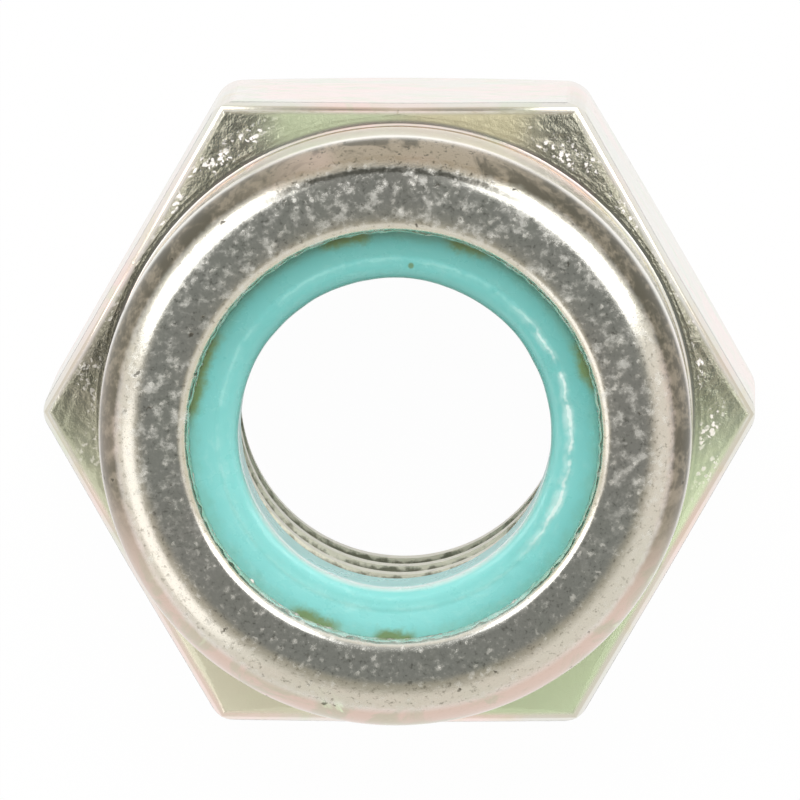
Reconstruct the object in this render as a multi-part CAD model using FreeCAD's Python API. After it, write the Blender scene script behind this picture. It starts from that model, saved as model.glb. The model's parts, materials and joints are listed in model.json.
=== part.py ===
import FreeCAD, Part
import math
import os

# A hexagonal lock nut with a plastic locking ring, in millimetres.
# The bearing face lies on Z = 0 with its centre at the origin, and the crown
# points along +Z. Two of the six flats face +Y and -Y. The bore is plain, at the
# crests of the thread, and the groove between the crests isn't cut.

# Thread
thread_diameter = 8.0
thread_pitch = 1.25
thread_angle = 60.0                 # between the two flanks of a groove
thread_length = 6.8                 # from the bearing face to the ring's seat
crest_truncation = 0.087            # how far the crests stop short of the basic form
countersink_width = 0.4             # from the thread's full diameter outwards
countersink_angle = 24.0            # between the countersink and the axis

# Hexagon
across_flats = 13.0
corner_round = 0.6
hexagon_height = 5.62               # up to the foot of the collar
base_chamfer_width = 0.3            # from the flats inwards, at the bearing face
base_chamfer_angle = 30.0
shoulder_slope = 15.0               # fall of the shoulder towards the corners
edge_bevel = 0.2                    # along the upper edge of each flat

# Locking ring
ring_grip = 0.78                    # radius of the ring's bore under that of the bolt
ring_face_width = 1.0               # what the lip leaves showing
ring_height = 2.1                   # from its seat to the root of the lip's nose
ring_face_drop = 0.12               # fall of its face from the nose to a crease
ring_crease_width = 0.4             # from the bore out to the crease
ring_rim_drop = 0.25                # from the crease down to the bore's rim
ring_lead_in = 0.3                  # chamfer at the lower end of the bore

# Collar and the lip crimped over the ring
lip_cover = 0.96                    # how far the lip reaches over the ring
lip_underside_drop = 0.5            # fall of its underside out to the recess wall
lip_nose = 0.12                     # straight height of the nose
lip_rise = 0.38                     # from the nose up to the top of the crown
lip_width = 0.73                    # from the nose out to the top of the crown
crown_rise = 1.25                   # from the widest line of the collar to the top
collar_wall = 0.95                  # steel around the recess
collar_flare = 0.08                 # growth of the collar's radius from its foot up
foot_fillet = 0.12

# Radii and heights that follow from the sizes above
thread_radius = thread_diameter / 2
basic_depth = 5 / 16 * thread_pitch / math.tan(math.radians(thread_angle / 2))
crest_radius = thread_radius - basic_depth + crest_truncation
flat_radius = across_flats / 2
corner_radius = flat_radius / math.cos(math.radians(30))
ring_bore_radius = thread_radius - ring_grip
nose_radius = ring_bore_radius + ring_face_width
crown_radius = nose_radius + lip_width
recess_radius = nose_radius + lip_cover
widest_radius = recess_radius + collar_wall
foot_radius = widest_radius - collar_flare
nose_root = thread_length + ring_height
nose_height = nose_root + lip_nose
overall_height = nose_height + lip_rise
widest_height = overall_height - crown_rise

# Share of the corner's distance at which a Bezier handle gives a quarter ellipse
QUARTER_HANDLE = 0.5523
ORIGIN = FreeCAD.Vector(0, 0, 0)
AXIS = FreeCAD.Vector(0, 0, 1)


def point(radius, height):
    """A point of a turned outline, in the XZ half plane."""
    return FreeCAD.Vector(radius, 0, height)


def line(start, end):
    """A straight edge of a turned outline."""
    return Part.makeLine(point(*start), point(*end))


def quarter(start, corner, end):
    """A rounded edge that leaves start towards the corner and reaches end from it."""
    first, middle, last = point(*start), point(*corner), point(*end)
    curve = Part.BezierCurve()
    curve.setPoles([
        first,
        first + (middle - first) * QUARTER_HANDLE,
        last + (middle - last) * QUARTER_HANDLE,
        last,
    ])
    return curve.toShape()


def turned(edges):
    """The solid swept by a closed outline around the axis."""
    face = Part.Face(Part.Wire(edges))
    return face.revolve(ORIGIN, AXIS, 360)


def shoulder_at(radius):
    """Height of the shoulder's cone at a distance from the axis."""
    return hexagon_height - (radius - foot_radius) * math.tan(math.radians(shoulder_slope))


def lip_underside():
    """The rounded edge from the root of the nose out to the recess wall."""
    start = (nose_radius, nose_root)
    end = (recess_radius, nose_root - lip_underside_drop)
    return quarter(start, (recess_radius, nose_root), end)


def turned_blank():
    """The outside of the nut before its flats are formed, without any bore."""
    blank_radius = corner_radius + edge_bevel
    bearing_radius = flat_radius - base_chamfer_width
    chamfer_rise = (blank_radius - bearing_radius) * math.tan(math.radians(base_chamfer_angle))
    fillet_start = (foot_radius + foot_fillet, shoulder_at(foot_radius + foot_fillet))
    fillet_end = (foot_radius, hexagon_height + foot_fillet)
    widest = (widest_radius, widest_height)
    crown = (crown_radius, overall_height)
    nose_top = (nose_radius, nose_height)
    return turned([
        line((0, 0), (bearing_radius, 0)),
        line((bearing_radius, 0), (blank_radius, chamfer_rise)),
        line((blank_radius, chamfer_rise), (blank_radius, shoulder_at(blank_radius))),
        line((blank_radius, shoulder_at(blank_radius)), fillet_start),
        quarter(fillet_start, (foot_radius, hexagon_height), fillet_end),
        line(fillet_end, widest),
        quarter(widest, (widest_radius, overall_height), crown),
        quarter(crown, (nose_radius, overall_height), nose_top),
        line(nose_top, (nose_radius, nose_root)),
        line((nose_radius, nose_root), (0, nose_root)),
        line((0, nose_root), (0, 0)),
    ])


def hexagon_prism():
    """The six flats with their rounded corners."""
    corners = []
    for step in range(7):
        turn = math.radians(60 * step)
        corners.append(FreeCAD.Vector(math.cos(turn), math.sin(turn), 0) * corner_radius)
    prism = Part.Face(Part.makePolygon(corners)).extrude(AXIS * overall_height)
    upright = [edge for edge in prism.Edges if abs(edge.tangentAt(edge.FirstParameter).z) > 0.5]
    return prism.makeFillet(corner_round, upright)


def edge_bevels():
    """Six wedges, each of which breaks the upper edge of one flat at 45 degrees."""
    inner = flat_radius - edge_bevel
    outer = flat_radius + edge_bevel
    top = shoulder_at(inner)
    section = Part.makePolygon([
        FreeCAD.Vector(-corner_radius, inner, top),
        FreeCAD.Vector(-corner_radius, outer, top + inner - outer),
        FreeCAD.Vector(-corner_radius, outer, top + edge_bevel),
        FreeCAD.Vector(-corner_radius, inner, top),
    ])
    wedge = Part.Face(section).extrude(FreeCAD.Vector(2 * corner_radius, 0, 0))
    wedges = []
    for step in range(6):
        copy = wedge.copy()
        copy.rotate(ORIGIN, AXIS, 60 * step)
        wedges.append(copy)
    return wedges


def ring_recess():
    """The room for the locking ring under the lip."""
    underside_end = (recess_radius, nose_root - lip_underside_drop)
    return turned([
        line((0, thread_length), (recess_radius, thread_length)),
        line((recess_radius, thread_length), underside_end),
        lip_underside(),
        line((nose_radius, nose_root), (0, nose_root)),
        line((0, nose_root), (0, thread_length)),
    ])


def countersunk_bore():
    """The bore at the crests of the thread, opened at the bearing face."""
    mouth_radius = thread_radius + countersink_width
    depth = (mouth_radius - crest_radius) / math.tan(math.radians(countersink_angle))
    return turned([
        line((0, 0), (mouth_radius, 0)),
        line((mouth_radius, 0), (crest_radius, depth)),
        line((crest_radius, depth), (crest_radius, thread_length)),
        line((crest_radius, thread_length), (0, thread_length)),
        line((0, thread_length), (0, 0)),
    ])


def nut_body():
    """The steel nut, formed from one piece of stock."""
    body = turned_blank().common(hexagon_prism())
    body = body.cut(edge_bevels())
    body = body.cut(ring_recess())
    return body.cut(countersunk_bore())


def locking_ring():
    """The plastic ring that fills the recess and grips the bolt."""
    crease_height = nose_root - ring_face_drop
    crease = (ring_bore_radius + ring_crease_width, crease_height)
    rim = (ring_bore_radius, crease_height - ring_rim_drop)
    lead_in_top = (ring_bore_radius, thread_length + ring_lead_in)
    lead_in_foot = (ring_bore_radius + ring_lead_in, thread_length)
    outer_top = (recess_radius, nose_root - lip_underside_drop)
    return turned([
        line(lead_in_foot, (recess_radius, thread_length)),
        line((recess_radius, thread_length), outer_top),
        lip_underside(),
        line((nose_radius, nose_root), crease),
        quarter(crease, (ring_bore_radius, crease_height), rim),
        line(rim, lead_in_top),
        line(lead_in_top, lead_in_foot),
    ])


def export(shape, name):
    """One closed solid in a file of its own."""
    shape.Solids[0].exportStep(os.path.join("parts", name + ".step"))


def main():
    os.makedirs("parts", exist_ok=True)
    export(nut_body(), "nut_body")
    export(locking_ring(), "locking_ring")


main()
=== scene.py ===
"""Dresses the lock nut: plated steel body, nylon locking ring, burrs of the lip and a studio.

Lengths are in metres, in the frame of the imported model: the bearing face lies on
Z = 0, the crown points along +Z and two of the six flats face +Y and -Y.
"""

import json
import math

import bmesh
import bpy
from bpy.props import FloatProperty, FloatVectorProperty, IntProperty, PointerProperty
from mathutils import Matrix, Vector


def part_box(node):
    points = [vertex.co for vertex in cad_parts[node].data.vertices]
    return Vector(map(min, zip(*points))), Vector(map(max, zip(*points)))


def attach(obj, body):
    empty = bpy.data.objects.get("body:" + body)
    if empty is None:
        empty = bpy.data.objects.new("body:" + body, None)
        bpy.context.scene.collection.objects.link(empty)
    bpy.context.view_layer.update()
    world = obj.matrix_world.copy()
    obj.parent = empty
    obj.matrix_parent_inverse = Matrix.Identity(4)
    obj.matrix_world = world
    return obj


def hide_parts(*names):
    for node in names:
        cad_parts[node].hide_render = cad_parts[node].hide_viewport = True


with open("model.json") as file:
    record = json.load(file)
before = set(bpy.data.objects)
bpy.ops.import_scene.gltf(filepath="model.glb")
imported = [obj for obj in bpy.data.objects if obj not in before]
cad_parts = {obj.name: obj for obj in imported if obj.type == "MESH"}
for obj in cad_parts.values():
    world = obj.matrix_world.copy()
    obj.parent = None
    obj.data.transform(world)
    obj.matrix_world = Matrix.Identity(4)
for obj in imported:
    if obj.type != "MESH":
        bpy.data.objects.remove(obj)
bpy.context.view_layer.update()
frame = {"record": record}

bl_info = {
    "name": "Lock Nut",
    "version": (1, 0, 0),
    "blender": (4, 5, 0),
    "location": "3D View > Sidebar > Lock Nut",
    "description": "Builds a plated lock nut with its nylon ring and a studio to show it in",
    "category": "Object",
}

MM = 0.001
MICRON = 0.000001
WELD = 0.1 * MICRON                 # points closer than this are one point
QUARTER_TURN = math.pi / 2
SIXTH_TURN = math.pi / 3
ORIGIN = (0, 0, 0)
AXIS = (0, 0, 1)
SHOULDER_RINGS = 40                 # rows of faces from the collar out to the corners
CORNER_FANS = (-25, -15, -5, 5, 15, 25)     # headings of the cuts that round a corner, in degrees
EDGE_FANS = (-15, 15)               # and of the cuts that round its upper edge
EDGE_CUTS = 3                       # cuts that round an edge at one heading
RIPPLES = 2.5                       # tool marks on the shoulder, from the collar outwards
GROOVE_OVERLAP = 0.15 * MM          # from the crests inwards, so that the cutter passes through them

# Azimuth in degrees and share of the full length of each burr on the lip's nose
BURR_SITES = (
    (6, 0.6), (12, 0.5), (23, 0.9), (40, 0.3), (75, 0.4), (104, 0.5), (131, 0.4),
    (155, 0.8), (159, 1.0), (165, 0.6), (172, 0.7), (190, 0.5), (207, 0.8), (226, 0.5),
    (243, 0.9), (250, 1.0), (257, 0.6), (270, 0.7), (283, 0.5), (305, 0.6), (334, 0.5),
)
RING_SPECK = (0.34, 3.50, 0)        # X and Y of a dark speck on the ring, in millimetres
# Azimuth and half width in degrees of each stain on the ring
STAIN_SITES = ((20, 9), (69, 8), (104, 9), (163, 16), (247, 9), (270, 7))
STAINED_EVERYWHERE = 0.26           # share of that stain between those places

BODY_LOW, BODY_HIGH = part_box("nut_body")
RING_LOW, RING_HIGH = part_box("locking_ring")
MOUNTS = {mount["name"]: mount for mount in frame["record"]["mounts"]}
CREST_RADIUS = MOUNTS["bolt_thread"]["dims"]["r_mm"] * MM
RING_BORE_RADIUS = MOUNTS["ring_bore"]["dims"]["r_mm"] * MM


def length(name, default, description):
    """A property that holds a length in metres."""
    return FloatProperty(
        name=name, description=description, default=default, unit="LENGTH", subtype="DISTANCE", precision=6
    )


def angle(name, degrees, description):
    """A property that holds an angle, given in degrees."""
    return FloatProperty(name=name, description=description, default=math.radians(degrees), subtype="ANGLE")


def count(name, default, description, least=3):
    """A property that holds a whole number."""
    return IntProperty(name=name, description=description, default=default, min=least)


def share(name, default, description):
    """A property that holds a number from 0 to 1."""
    return FloatProperty(name=name, description=description, default=default, min=0, max=1, subtype="FACTOR")


def tint(name, default, description):
    """A property that holds a linear colour."""
    return FloatVectorProperty(
        name=name, description=description, default=default, size=3, min=0, max=1, subtype="COLOR"
    )


def brightness(name, default, description):
    """A property that holds the brightness of a lamp."""
    return FloatProperty(name=name, description=description, default=default, min=0)


def triple(name, default, description, subtype):
    """A property that holds a place or a direction."""
    return FloatVectorProperty(name=name, description=description, default=default, size=3, subtype=subtype)


class NutSizes(bpy.types.PropertyGroup):
    """Sizes of the steel body."""

    across_flats: length("Across flats", BODY_HIGH.y - BODY_LOW.y, "Distance between two opposite flats")
    corner_round: length("Corner round", 0.6 * MM, "Radius of the upright corners of the hexagon")
    height: length("Height", BODY_HIGH.z, "From the bearing face to the top of the crown")
    hexagon_height: length("Hexagon height", 5.62 * MM, "From the bearing face to the foot of the collar")
    shoulder_slope: angle("Shoulder slope", 15, "Fall of the shoulder towards the corners")
    edge_round: length("Edge round", 0.32 * MM, "Radius of the upper edge of each flat")
    chamfer_width: length("Chamfer width", 0.3 * MM, "Chamfer at the bearing face, from the flats inwards")
    chamfer_angle: angle("Chamfer angle", 30, "Rise of that chamfer")
    foot_radius: length("Foot radius", 6.05 * MM, "Radius of the collar at its foot")
    foot_fillet: length("Foot fillet", 0.12 * MM, "Rounding between the shoulder and the collar")
    widest_radius: length("Widest radius", 6.13 * MM, "Radius of the collar where the crown starts")
    crown_rise: length("Crown rise", 1.25 * MM, "From the widest line up to the top of the crown")
    crown_radius: length("Crown radius", 4.95 * MM, "Radius of the highest line of the crown")
    nose_radius: length("Nose radius", 4.22 * MM, "Radius of the lip's inner edge")
    nose_height: length("Nose height", 0.16 * MM, "Straight part of the lip's inner edge")
    nose_round: length("Nose round", 0.28 * MM, "Width of the rounding from the nose to the crown")
    crown_dish: length("Crown dish", 0.04 * MM, "Fall from the crown's highest line to that rounding")
    recess_radius: length("Recess radius", RING_HIGH.x, "Radius of the room that holds the ring")
    underside_drop: length("Underside drop", 0.5 * MM, "Fall of the lip's underside out to the recess wall")
    ripple_height: length("Ripple height", 0.012 * MM, "Height of the tool marks around the collar's foot")
    ripple_spacing: length("Ripple spacing", 0.12 * MM, "Distance between those marks")
    steps: count("Steps", 480, "Columns of faces around the axis")


class ThreadSizes(bpy.types.PropertyGroup):
    """Sizes of the thread in the steel body."""

    radius: length("Thread radius", 4.0 * MM, "Radius at the bottom of the groove")
    pitch: length("Pitch", 1.25 * MM, "Rise of the thread in one turn")
    crest_radius: length("Crest radius", CREST_RADIUS, "Radius of the plain bore at the crests")
    flank_angle: angle("Flank angle", 60, "Between the two sides of the groove")
    countersink_width: length("Countersink width", 0.4 * MM, "From the thread's radius outwards")
    countersink_angle: angle("Countersink angle", 24, "Between the countersink and the axis")
    start: length("Start", -1.6125 * MM, "Height of the groove's middle where its first turn starts, at +X")
    turns: count("Turns", 8, "Turns of the cutting tool", 1)
    steps: count("Steps", 96, "Steps of the cutting tool in one turn")


class RingSizes(bpy.types.PropertyGroup):
    """Sizes of the nylon ring."""

    bore_radius: length("Bore radius", RING_BORE_RADIUS, "Radius of the hole that grips the bolt")
    seat: length("Seat", RING_LOW.z, "Height of the ring's seat on the steel")
    top: length("Top", RING_HIGH.z, "Height at which the ring meets the lip")
    crease_width: length("Crease width", 0.4 * MM, "From the bore out to the crease of the face")
    face_drop: length("Face drop", 0.12 * MM, "Fall of the face from the lip to the crease")
    rim_drop: length("Rim drop", 0.25 * MM, "Fall from the crease down to the bore's rim")
    crease_ridge: length("Crease ridge", 0.010 * MM, "Height of the small ridge along the crease")
    crease_half: length("Crease half width", 0.08 * MM, "Half the width of that ridge")
    lead_in: length("Lead in", 0.3 * MM, "Chamfer at the lower end of the bore")
    steps: count("Steps", 360, "Columns of faces around the axis")


class BurrSizes(bpy.types.PropertyGroup):
    """Sizes of the burrs that crimping left on the lip."""

    radius: length("Radius", 0.04 * MM, "Radius of the bead that the burrs grow from")
    inset: length("Inset", 0.04 * MM, "From the lip's inner edge out to the middle of the bead")
    lift: length("Lift", 0.02 * MM, "Height of that middle over the root of the nose")
    raggedness: length("Raggedness", 0.20 * MM, "Depth of the unevenness at a burr")
    everywhere: share("Everywhere", 0.06, "Share of that unevenness between the burrs")
    corners: count("Corners", 10, "Corners of the bead's section")
    steps: count("Steps", 900, "Columns of faces around the axis")


class NutFinish(bpy.types.PropertyGroup):
    """Colours and gloss of the two materials."""

    silver: tint("Silver", (0.82, 0.80, 0.74), "Bare plating")
    cream: tint("Cream", (0.76, 0.73, 0.59), "Film in the thread and along the lip")
    # Painted shade in the grooves of the thread.
    groove_shade: tint("Tarnish", (0.20, 0.19, 0.13), "Film in the grooves of the thread")
    # Painted glints: white spots standing in for the sparkle of light on the rear shoulders.
    glint: tint("Glint", (1.0, 0.95, 0.92), "Small bright facets on the rear shoulders")
    pink: tint("Pink", (0.93, 0.76, 0.71), "Pink cast of the plating")
    green: tint("Green", (0.72, 0.78, 0.60), "Green cast of the plating")
    straw: tint("Straw", (0.80, 0.74, 0.56), "Straw cast of the plating")
    land_green: tint("Green land", (0.47, 0.52, 0.35), "Film on the rear shoulder, left half")
    land_straw: tint("Straw land", (0.52, 0.48, 0.32), "Film on the rear shoulder, right half")
    # The front lands are painted pale as a painted reflection, and the rear one dark as painted shade, over
    # the plating's own tint.
    land_front_and_sheen: tint("Front land", (0.98, 0.97, 0.77), "Film on the front shoulders, left")
    land_bright_and_sheen: tint("Bright land", (0.83, 1.0, 0.67), "Film on the front shoulders, right")
    wall: tint("Wall", (0.97, 0.94, 0.88), "Plating on the collar's wall")
    olive_and_shade: tint("Olive", (0.38, 0.37, 0.29), "Dark film on the rear shoulders")
    # Slope colours: tan and salmon are the plating's own tone; the darkest one also paints shade on the
    # flanks and the rear, and the front one paints a paler reflection.
    tan: tint("Tan", (0.43, 0.37, 0.28), "Rubbed plating on the crown's outer slope")
    brown_and_shade: tint("Brown", (0.13, 0.12, 0.09), "Darkest rubbed plating")
    front_tan_and_reflection: tint("Front tan", (0.58, 0.52, 0.41), "Rubbed plating on the front of the outer slope")
    salmon: tint("Salmon", (0.70, 0.54, 0.46), "Copper cast of the rubbed plating")
    pit: tint("Pit", (0.09, 0.08, 0.06), "Bottom of the pits")
    flake: tint("Flake", (0.82, 0.81, 0.77), "Dull pale specks on the crown")
    steel_roughness: share("Steel roughness", 0.13, "Roughness of the bare plating")
    nylon: tint("Nylon", (0.27, 0.71, 0.69), "Dyed nylon")
    # Pale nylon from wear, also used for painted highlights at the rim and the crease.
    nylon_worn_and_sheen: tint("Worn nylon", (0.47, 0.84, 0.80), "Nylon whitened by handling")
    nylon_deep: tint("Deep nylon", (0.13, 0.45, 0.43), "Nylon turned away from the light")
    # Painted highlight at the crease and the front of the rim, in part a scuffed line.
    scuff_and_highlight: tint("Scuff", (0.86, 0.97, 0.95), "Nylon whitened where it was creased")
    stain: tint("Stain", (0.17, 0.27, 0.12), "Plating residue beside the lip")
    nylon_roughness: share("Nylon roughness", 0.22, "Roughness of the nylon")


class StudioSettings(bpy.types.PropertyGroup):
    """Camera, lamps and floor."""

    distance: length("Distance", 289.4 * MM, "From the camera to the point that it looks at")
    focus: triple("Focus", (-0.03 * MM, 0.02 * MM, 3.23 * MM), "The point that the camera looks at", "XYZ")
    backwards: triple("Backwards", (0.026, 0.125, 0.992), "From that point to the camera", "DIRECTION")
    lens: FloatProperty(name="Lens", description="Focal length in millimetres", default=620.8, min=1)
    floor_side: length("Floor side", 1.6, "Side of the square floor")
    floor_gap: length("Floor gap", 0.02 * MM, "From the floor up to the bearing face")
    lamp_distance: length("Lamp distance", 0.5, "From each lamp to the nut")
    key_level: brightness("Key level", 5.6, "Brightness of the wide lamp")
    card_level: brightness("Card level", 2.0, "Brightness of the soft boxes")
    front_share: share("Front share", 0.27, "Brightness of the front soft box against that of the others")
    floor_glow: share("Floor glow", 0.98, "Share of the floor's own light in what the camera sees")
    paper: tint("Paper", (0.9, 0.9, 0.9), "Floor under the nut")
    ceiling: tint("Ceiling", (0.38, 0.36, 0.30), "The room overhead")
    walls: tint("Walls", (0.78, 0.75, 0.68), "The room at the sides")
    rear_wall: tint("Rear wall", (0.74, 0.69, 0.60), "The room behind the rear flat")
    horizon: tint("Horizon", (1.0, 1.0, 1.0), "The room just over the floor")
    camera_shade: tint("Camera shade", (0.215, 0.225, 0.215), "The dark patch around the camera")


def select_nothing():
    """Leaves every object unselected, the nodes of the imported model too."""
    if bpy.context.object and bpy.context.object.mode != "OBJECT":
        bpy.ops.object.mode_set(mode="OBJECT")
    bpy.ops.object.select_all(action="DESELECT")


def straight(start, end, steps):
    """The points after start of a straight stretch of an outline, in equal steps."""
    points = []
    for step in range(1, steps + 1):
        along = step / steps
        points.append((start[0] + (end[0] - start[0]) * along, start[1] + (end[1] - start[1]) * along))
    return points


def rounded(start, corner, end, steps):
    """The points after start of a rounded edge that leaves start towards the corner."""
    points = []
    for step in range(1, steps + 1):
        turn = QUARTER_TURN * step / steps
        leaving = math.sin(turn)
        arriving = 1 - math.cos(turn)
        points.append((
            start[0] + (corner[0] - start[0]) * leaving + (end[0] - corner[0]) * arriving,
            start[1] + (corner[1] - start[1]) * leaving + (end[1] - corner[1]) * arriving,
        ))
    return points


def drawn(name, outline):
    """A new object in edit mode: the closed line through (radius, height) points, selected."""
    select_nothing()
    bpy.ops.mesh.primitive_plane_add(size=MM)
    piece = bpy.context.object
    piece.name = name
    piece.data.name = name
    bpy.ops.object.mode_set(mode="EDIT")
    bpy.ops.mesh.select_mode(type="VERT")
    bpy.ops.mesh.merge(type="CENTER")
    bpy.ops.transform.translate(value=(outline[0][0], 0, outline[0][1]))
    for here, there in zip(outline, outline[1:] + outline[:1]):
        shift = (there[0] - here[0], 0, there[1] - here[1])
        bpy.ops.mesh.extrude_vertices_move(TRANSFORM_OT_translate={"value": shift})
    bpy.ops.mesh.select_all(action="SELECT")
    bpy.ops.mesh.remove_doubles(threshold=WELD)
    return piece


def turned(name, outline, steps):
    """A new object: the closed outline of (radius, height) points, spun around the axis."""
    piece = drawn(name, outline)
    bpy.ops.mesh.spin(steps=steps, angle=2 * math.pi, center=ORIGIN, axis=AXIS)
    close_shell()
    bpy.ops.object.mode_set(mode="OBJECT")
    return piece


def close_shell():
    """Merges doubles and turns all faces of the mesh in edit mode outwards."""
    bpy.ops.mesh.select_all(action="SELECT")
    bpy.ops.mesh.remove_doubles(threshold=WELD)
    bpy.ops.mesh.normals_make_consistent(inside=False)


def select_faces(piece, wanted):
    """Selects the faces of the mesh in edit mode whose middle passes a test."""
    bpy.ops.mesh.select_mode(type="FACE")
    bpy.ops.mesh.select_all(action="DESELECT")
    mesh = bmesh.from_edit_mesh(piece.data)
    for face in [face for face in mesh.faces if wanted(face.calc_center_median())]:
        face.select_set(True)
    bmesh.update_edit_mesh(piece.data)


def cut_off(point, normal):
    """Takes what lies beyond a plane away from the selected faces, and closes the cut."""
    bpy.ops.mesh.bisect(plane_co=point, plane_no=normal, use_fill=False, clear_outer=True, threshold=WELD)
    bpy.ops.mesh.select_mode(type="EDGE")
    bpy.ops.mesh.select_all(action="DESELECT")
    bpy.ops.mesh.select_non_manifold(
        use_wire=False,
        use_multi_face=False,
        use_non_contiguous=False,
        use_verts=False,
    )
    bpy.ops.mesh.edge_face_add()


def apply_modifier(piece, kind, settings):
    """Adds a modifier with its settings and applies it."""
    modifier = piece.modifiers.new(kind.title(), kind)
    for name, value in settings.items():
        setattr(modifier, name, value)
    bpy.context.view_layer.objects.active = piece
    bpy.ops.object.modifier_apply(modifier=modifier.name)


def weigh(piece, group_name, weight_at):
    """A vertex group whose weights come from a function of a point's place."""
    group = piece.vertex_groups.new(name=group_name)
    for vertex in piece.data.vertices:
        weight = weight_at(vertex.co)
        if weight > 0:
            group.add([vertex.index], min(weight, 1), "REPLACE")
    return group.name


def roughen(piece, name, weight_at, grain, depth):
    """Moves the surface by a cloud pattern of a given grain size, where the weights say."""
    group = weigh(piece, name, weight_at)
    texture = bpy.data.textures.new(name, "CLOUDS")
    texture.noise_scale = grain
    texture.noise_depth = 2
    apply_modifier(piece, "DISPLACE", {
        "texture": texture,
        "texture_coords": "LOCAL",
        "strength": depth,
        "mid_level": 0.5,
        "direction": "NORMAL",
        "vertex_group": group,
    })
    piece.vertex_groups.remove(piece.vertex_groups[group])


def smooth(piece, degrees):
    """Smooth shading that breaks at edges sharper than an angle."""
    select_nothing()
    piece.select_set(True)
    bpy.context.view_layer.objects.active = piece
    bpy.ops.object.shade_smooth_by_angle(angle=math.radians(degrees))
    apply_modifier(piece, "WEIGHTED_NORMAL", {"keep_sharp": True, "weight": 60})


def ramp(value, low, high):
    """0 below low, 1 above high and a smooth rise between; low may be the larger one."""
    part = min(max((value - low) / (high - low), 0), 1)
    return part * part * (3 - 2 * part)


def level_heading(turn):
    """A level unit vector at an angle from +X, in radians."""
    return Vector((math.cos(turn), math.sin(turn), 0))


def direction_to(azimuth, zenith):
    """A unit vector from an azimuth from +X and an angle from the zenith, in degrees."""
    turn = math.radians(azimuth)
    lean = math.radians(zenith)
    return Vector((math.cos(turn) * math.sin(lean), math.sin(turn) * math.sin(lean), math.cos(lean)))


def dress(piece, node, material):
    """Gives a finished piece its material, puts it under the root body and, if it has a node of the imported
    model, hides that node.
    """
    piece.data.materials.clear()
    piece.data.materials.append(material)
    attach(piece, "root")
    if node:
        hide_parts(node)


def shoulder_height(sizes, radius):
    """Height of the shoulder's cone at a distance from the axis."""
    return sizes.hexagon_height - (radius - sizes.foot_radius) * math.tan(sizes.shoulder_slope)


def bore_outline(sizes, thread):
    """From the mouth of the countersink up through the bore and the recess to the lip's nose."""
    mouth = (thread.radius + thread.countersink_width, 0)
    depth = (mouth[0] - thread.crest_radius) / math.tan(thread.countersink_angle)
    ring = bpy.context.scene.locking_ring
    seat_inner = (thread.crest_radius, ring.seat)
    seat_outer = (sizes.recess_radius, ring.seat)
    underside_end = (sizes.recess_radius, ring.top - sizes.underside_drop)
    nose_root = (sizes.nose_radius, ring.top)
    points = [mouth]
    points += straight(mouth, (thread.crest_radius, depth), 6)
    points += straight(points[-1], seat_inner, 1)
    points += straight(seat_inner, seat_outer, 1)
    points += straight(seat_outer, underside_end, 1)
    points += rounded(underside_end, (sizes.recess_radius, ring.top), nose_root, 8)
    return points


def crown_outline(sizes):
    """From the lip's nose over the crown and down the collar to its foot."""
    ring = bpy.context.scene.locking_ring
    nose_root = (sizes.nose_radius, ring.top)
    nose_top = (sizes.nose_radius, ring.top + sizes.nose_height)
    crown = (sizes.crown_radius, sizes.height)
    widest = (sizes.widest_radius, sizes.height - sizes.crown_rise)
    foot = (sizes.foot_radius, sizes.hexagon_height + sizes.foot_fillet)
    fillet_radius = sizes.foot_radius + sizes.foot_fillet
    dish_edge = (sizes.nose_radius + sizes.nose_round, sizes.height - sizes.crown_dish)
    nose_corner = (sizes.nose_radius, dish_edge[1] - sizes.crown_dish)
    dish_corner = ((dish_edge[0] + crown[0]) / 2, sizes.height)
    points = straight(nose_root, nose_top, 3)
    points += rounded(nose_top, nose_corner, dish_edge, 12)
    points += rounded(dish_edge, dish_corner, crown, 8)
    points += rounded(crown, (sizes.widest_radius, sizes.height), widest, 30)
    points += straight(widest, foot, 8)
    points += rounded(
        foot,
        (sizes.foot_radius, sizes.hexagon_height),
        (fillet_radius, shoulder_height(sizes, fillet_radius)),
        5,
    )
    return points


def corner_distance(sizes):
    """From the axis to where two flats would meet, if their corner weren't rounded."""
    return sizes.across_flats / 2 / math.cos(SIXTH_TURN / 2)


def hexagon_outline(sizes):
    """From the collar's fillet over the shoulder, down outside the corners and in to the bore."""
    reach = corner_distance(sizes) + sizes.edge_round
    inner = sizes.foot_radius + sizes.foot_fillet
    bearing_radius = sizes.across_flats / 2 - sizes.chamfer_width
    chamfer_rise = (reach - bearing_radius) * math.tan(sizes.chamfer_angle)
    shoulder_start = (inner, shoulder_height(sizes, inner))
    shoulder_end = (reach, shoulder_height(sizes, reach))
    points = []
    for radius, height in straight(shoulder_start, shoulder_end, SHOULDER_RINGS):
        ripple = math.cos((radius - inner) / sizes.ripple_spacing * 2 * math.pi)
        fade = ramp(radius, inner + RIPPLES * sizes.ripple_spacing, inner)
        points.append((radius, height + sizes.ripple_height * ripple * fade))
    points += straight(shoulder_end, (reach, chamfer_rise), 1)
    points += straight((reach, chamfer_rise), (bearing_radius, 0), 1)
    return points


def corner_reach(sizes, fan):
    """Distance from the axis of a plane that touches a rounded corner, turned from it by fan degrees."""
    round_centre = corner_distance(sizes) - sizes.corner_round / math.cos(SIXTH_TURN / 2)
    return round_centre * math.cos(math.radians(fan)) + sizes.corner_round


def cut_flats(sizes):
    """Six flats, with upright corners rounded by a fan of narrow cuts."""
    for side in range(6):
        outwards = level_heading(SIXTH_TURN * side + SIXTH_TURN / 2)
        bpy.ops.mesh.select_all(action="SELECT")
        cut_off(outwards * sizes.across_flats / 2, outwards)
    for side in range(6):
        for fan in CORNER_FANS:
            outwards = level_heading(SIXTH_TURN * side + math.radians(fan))
            bpy.ops.mesh.select_all(action="SELECT")
            cut_off(outwards * corner_reach(sizes, fan), outwards)


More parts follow.
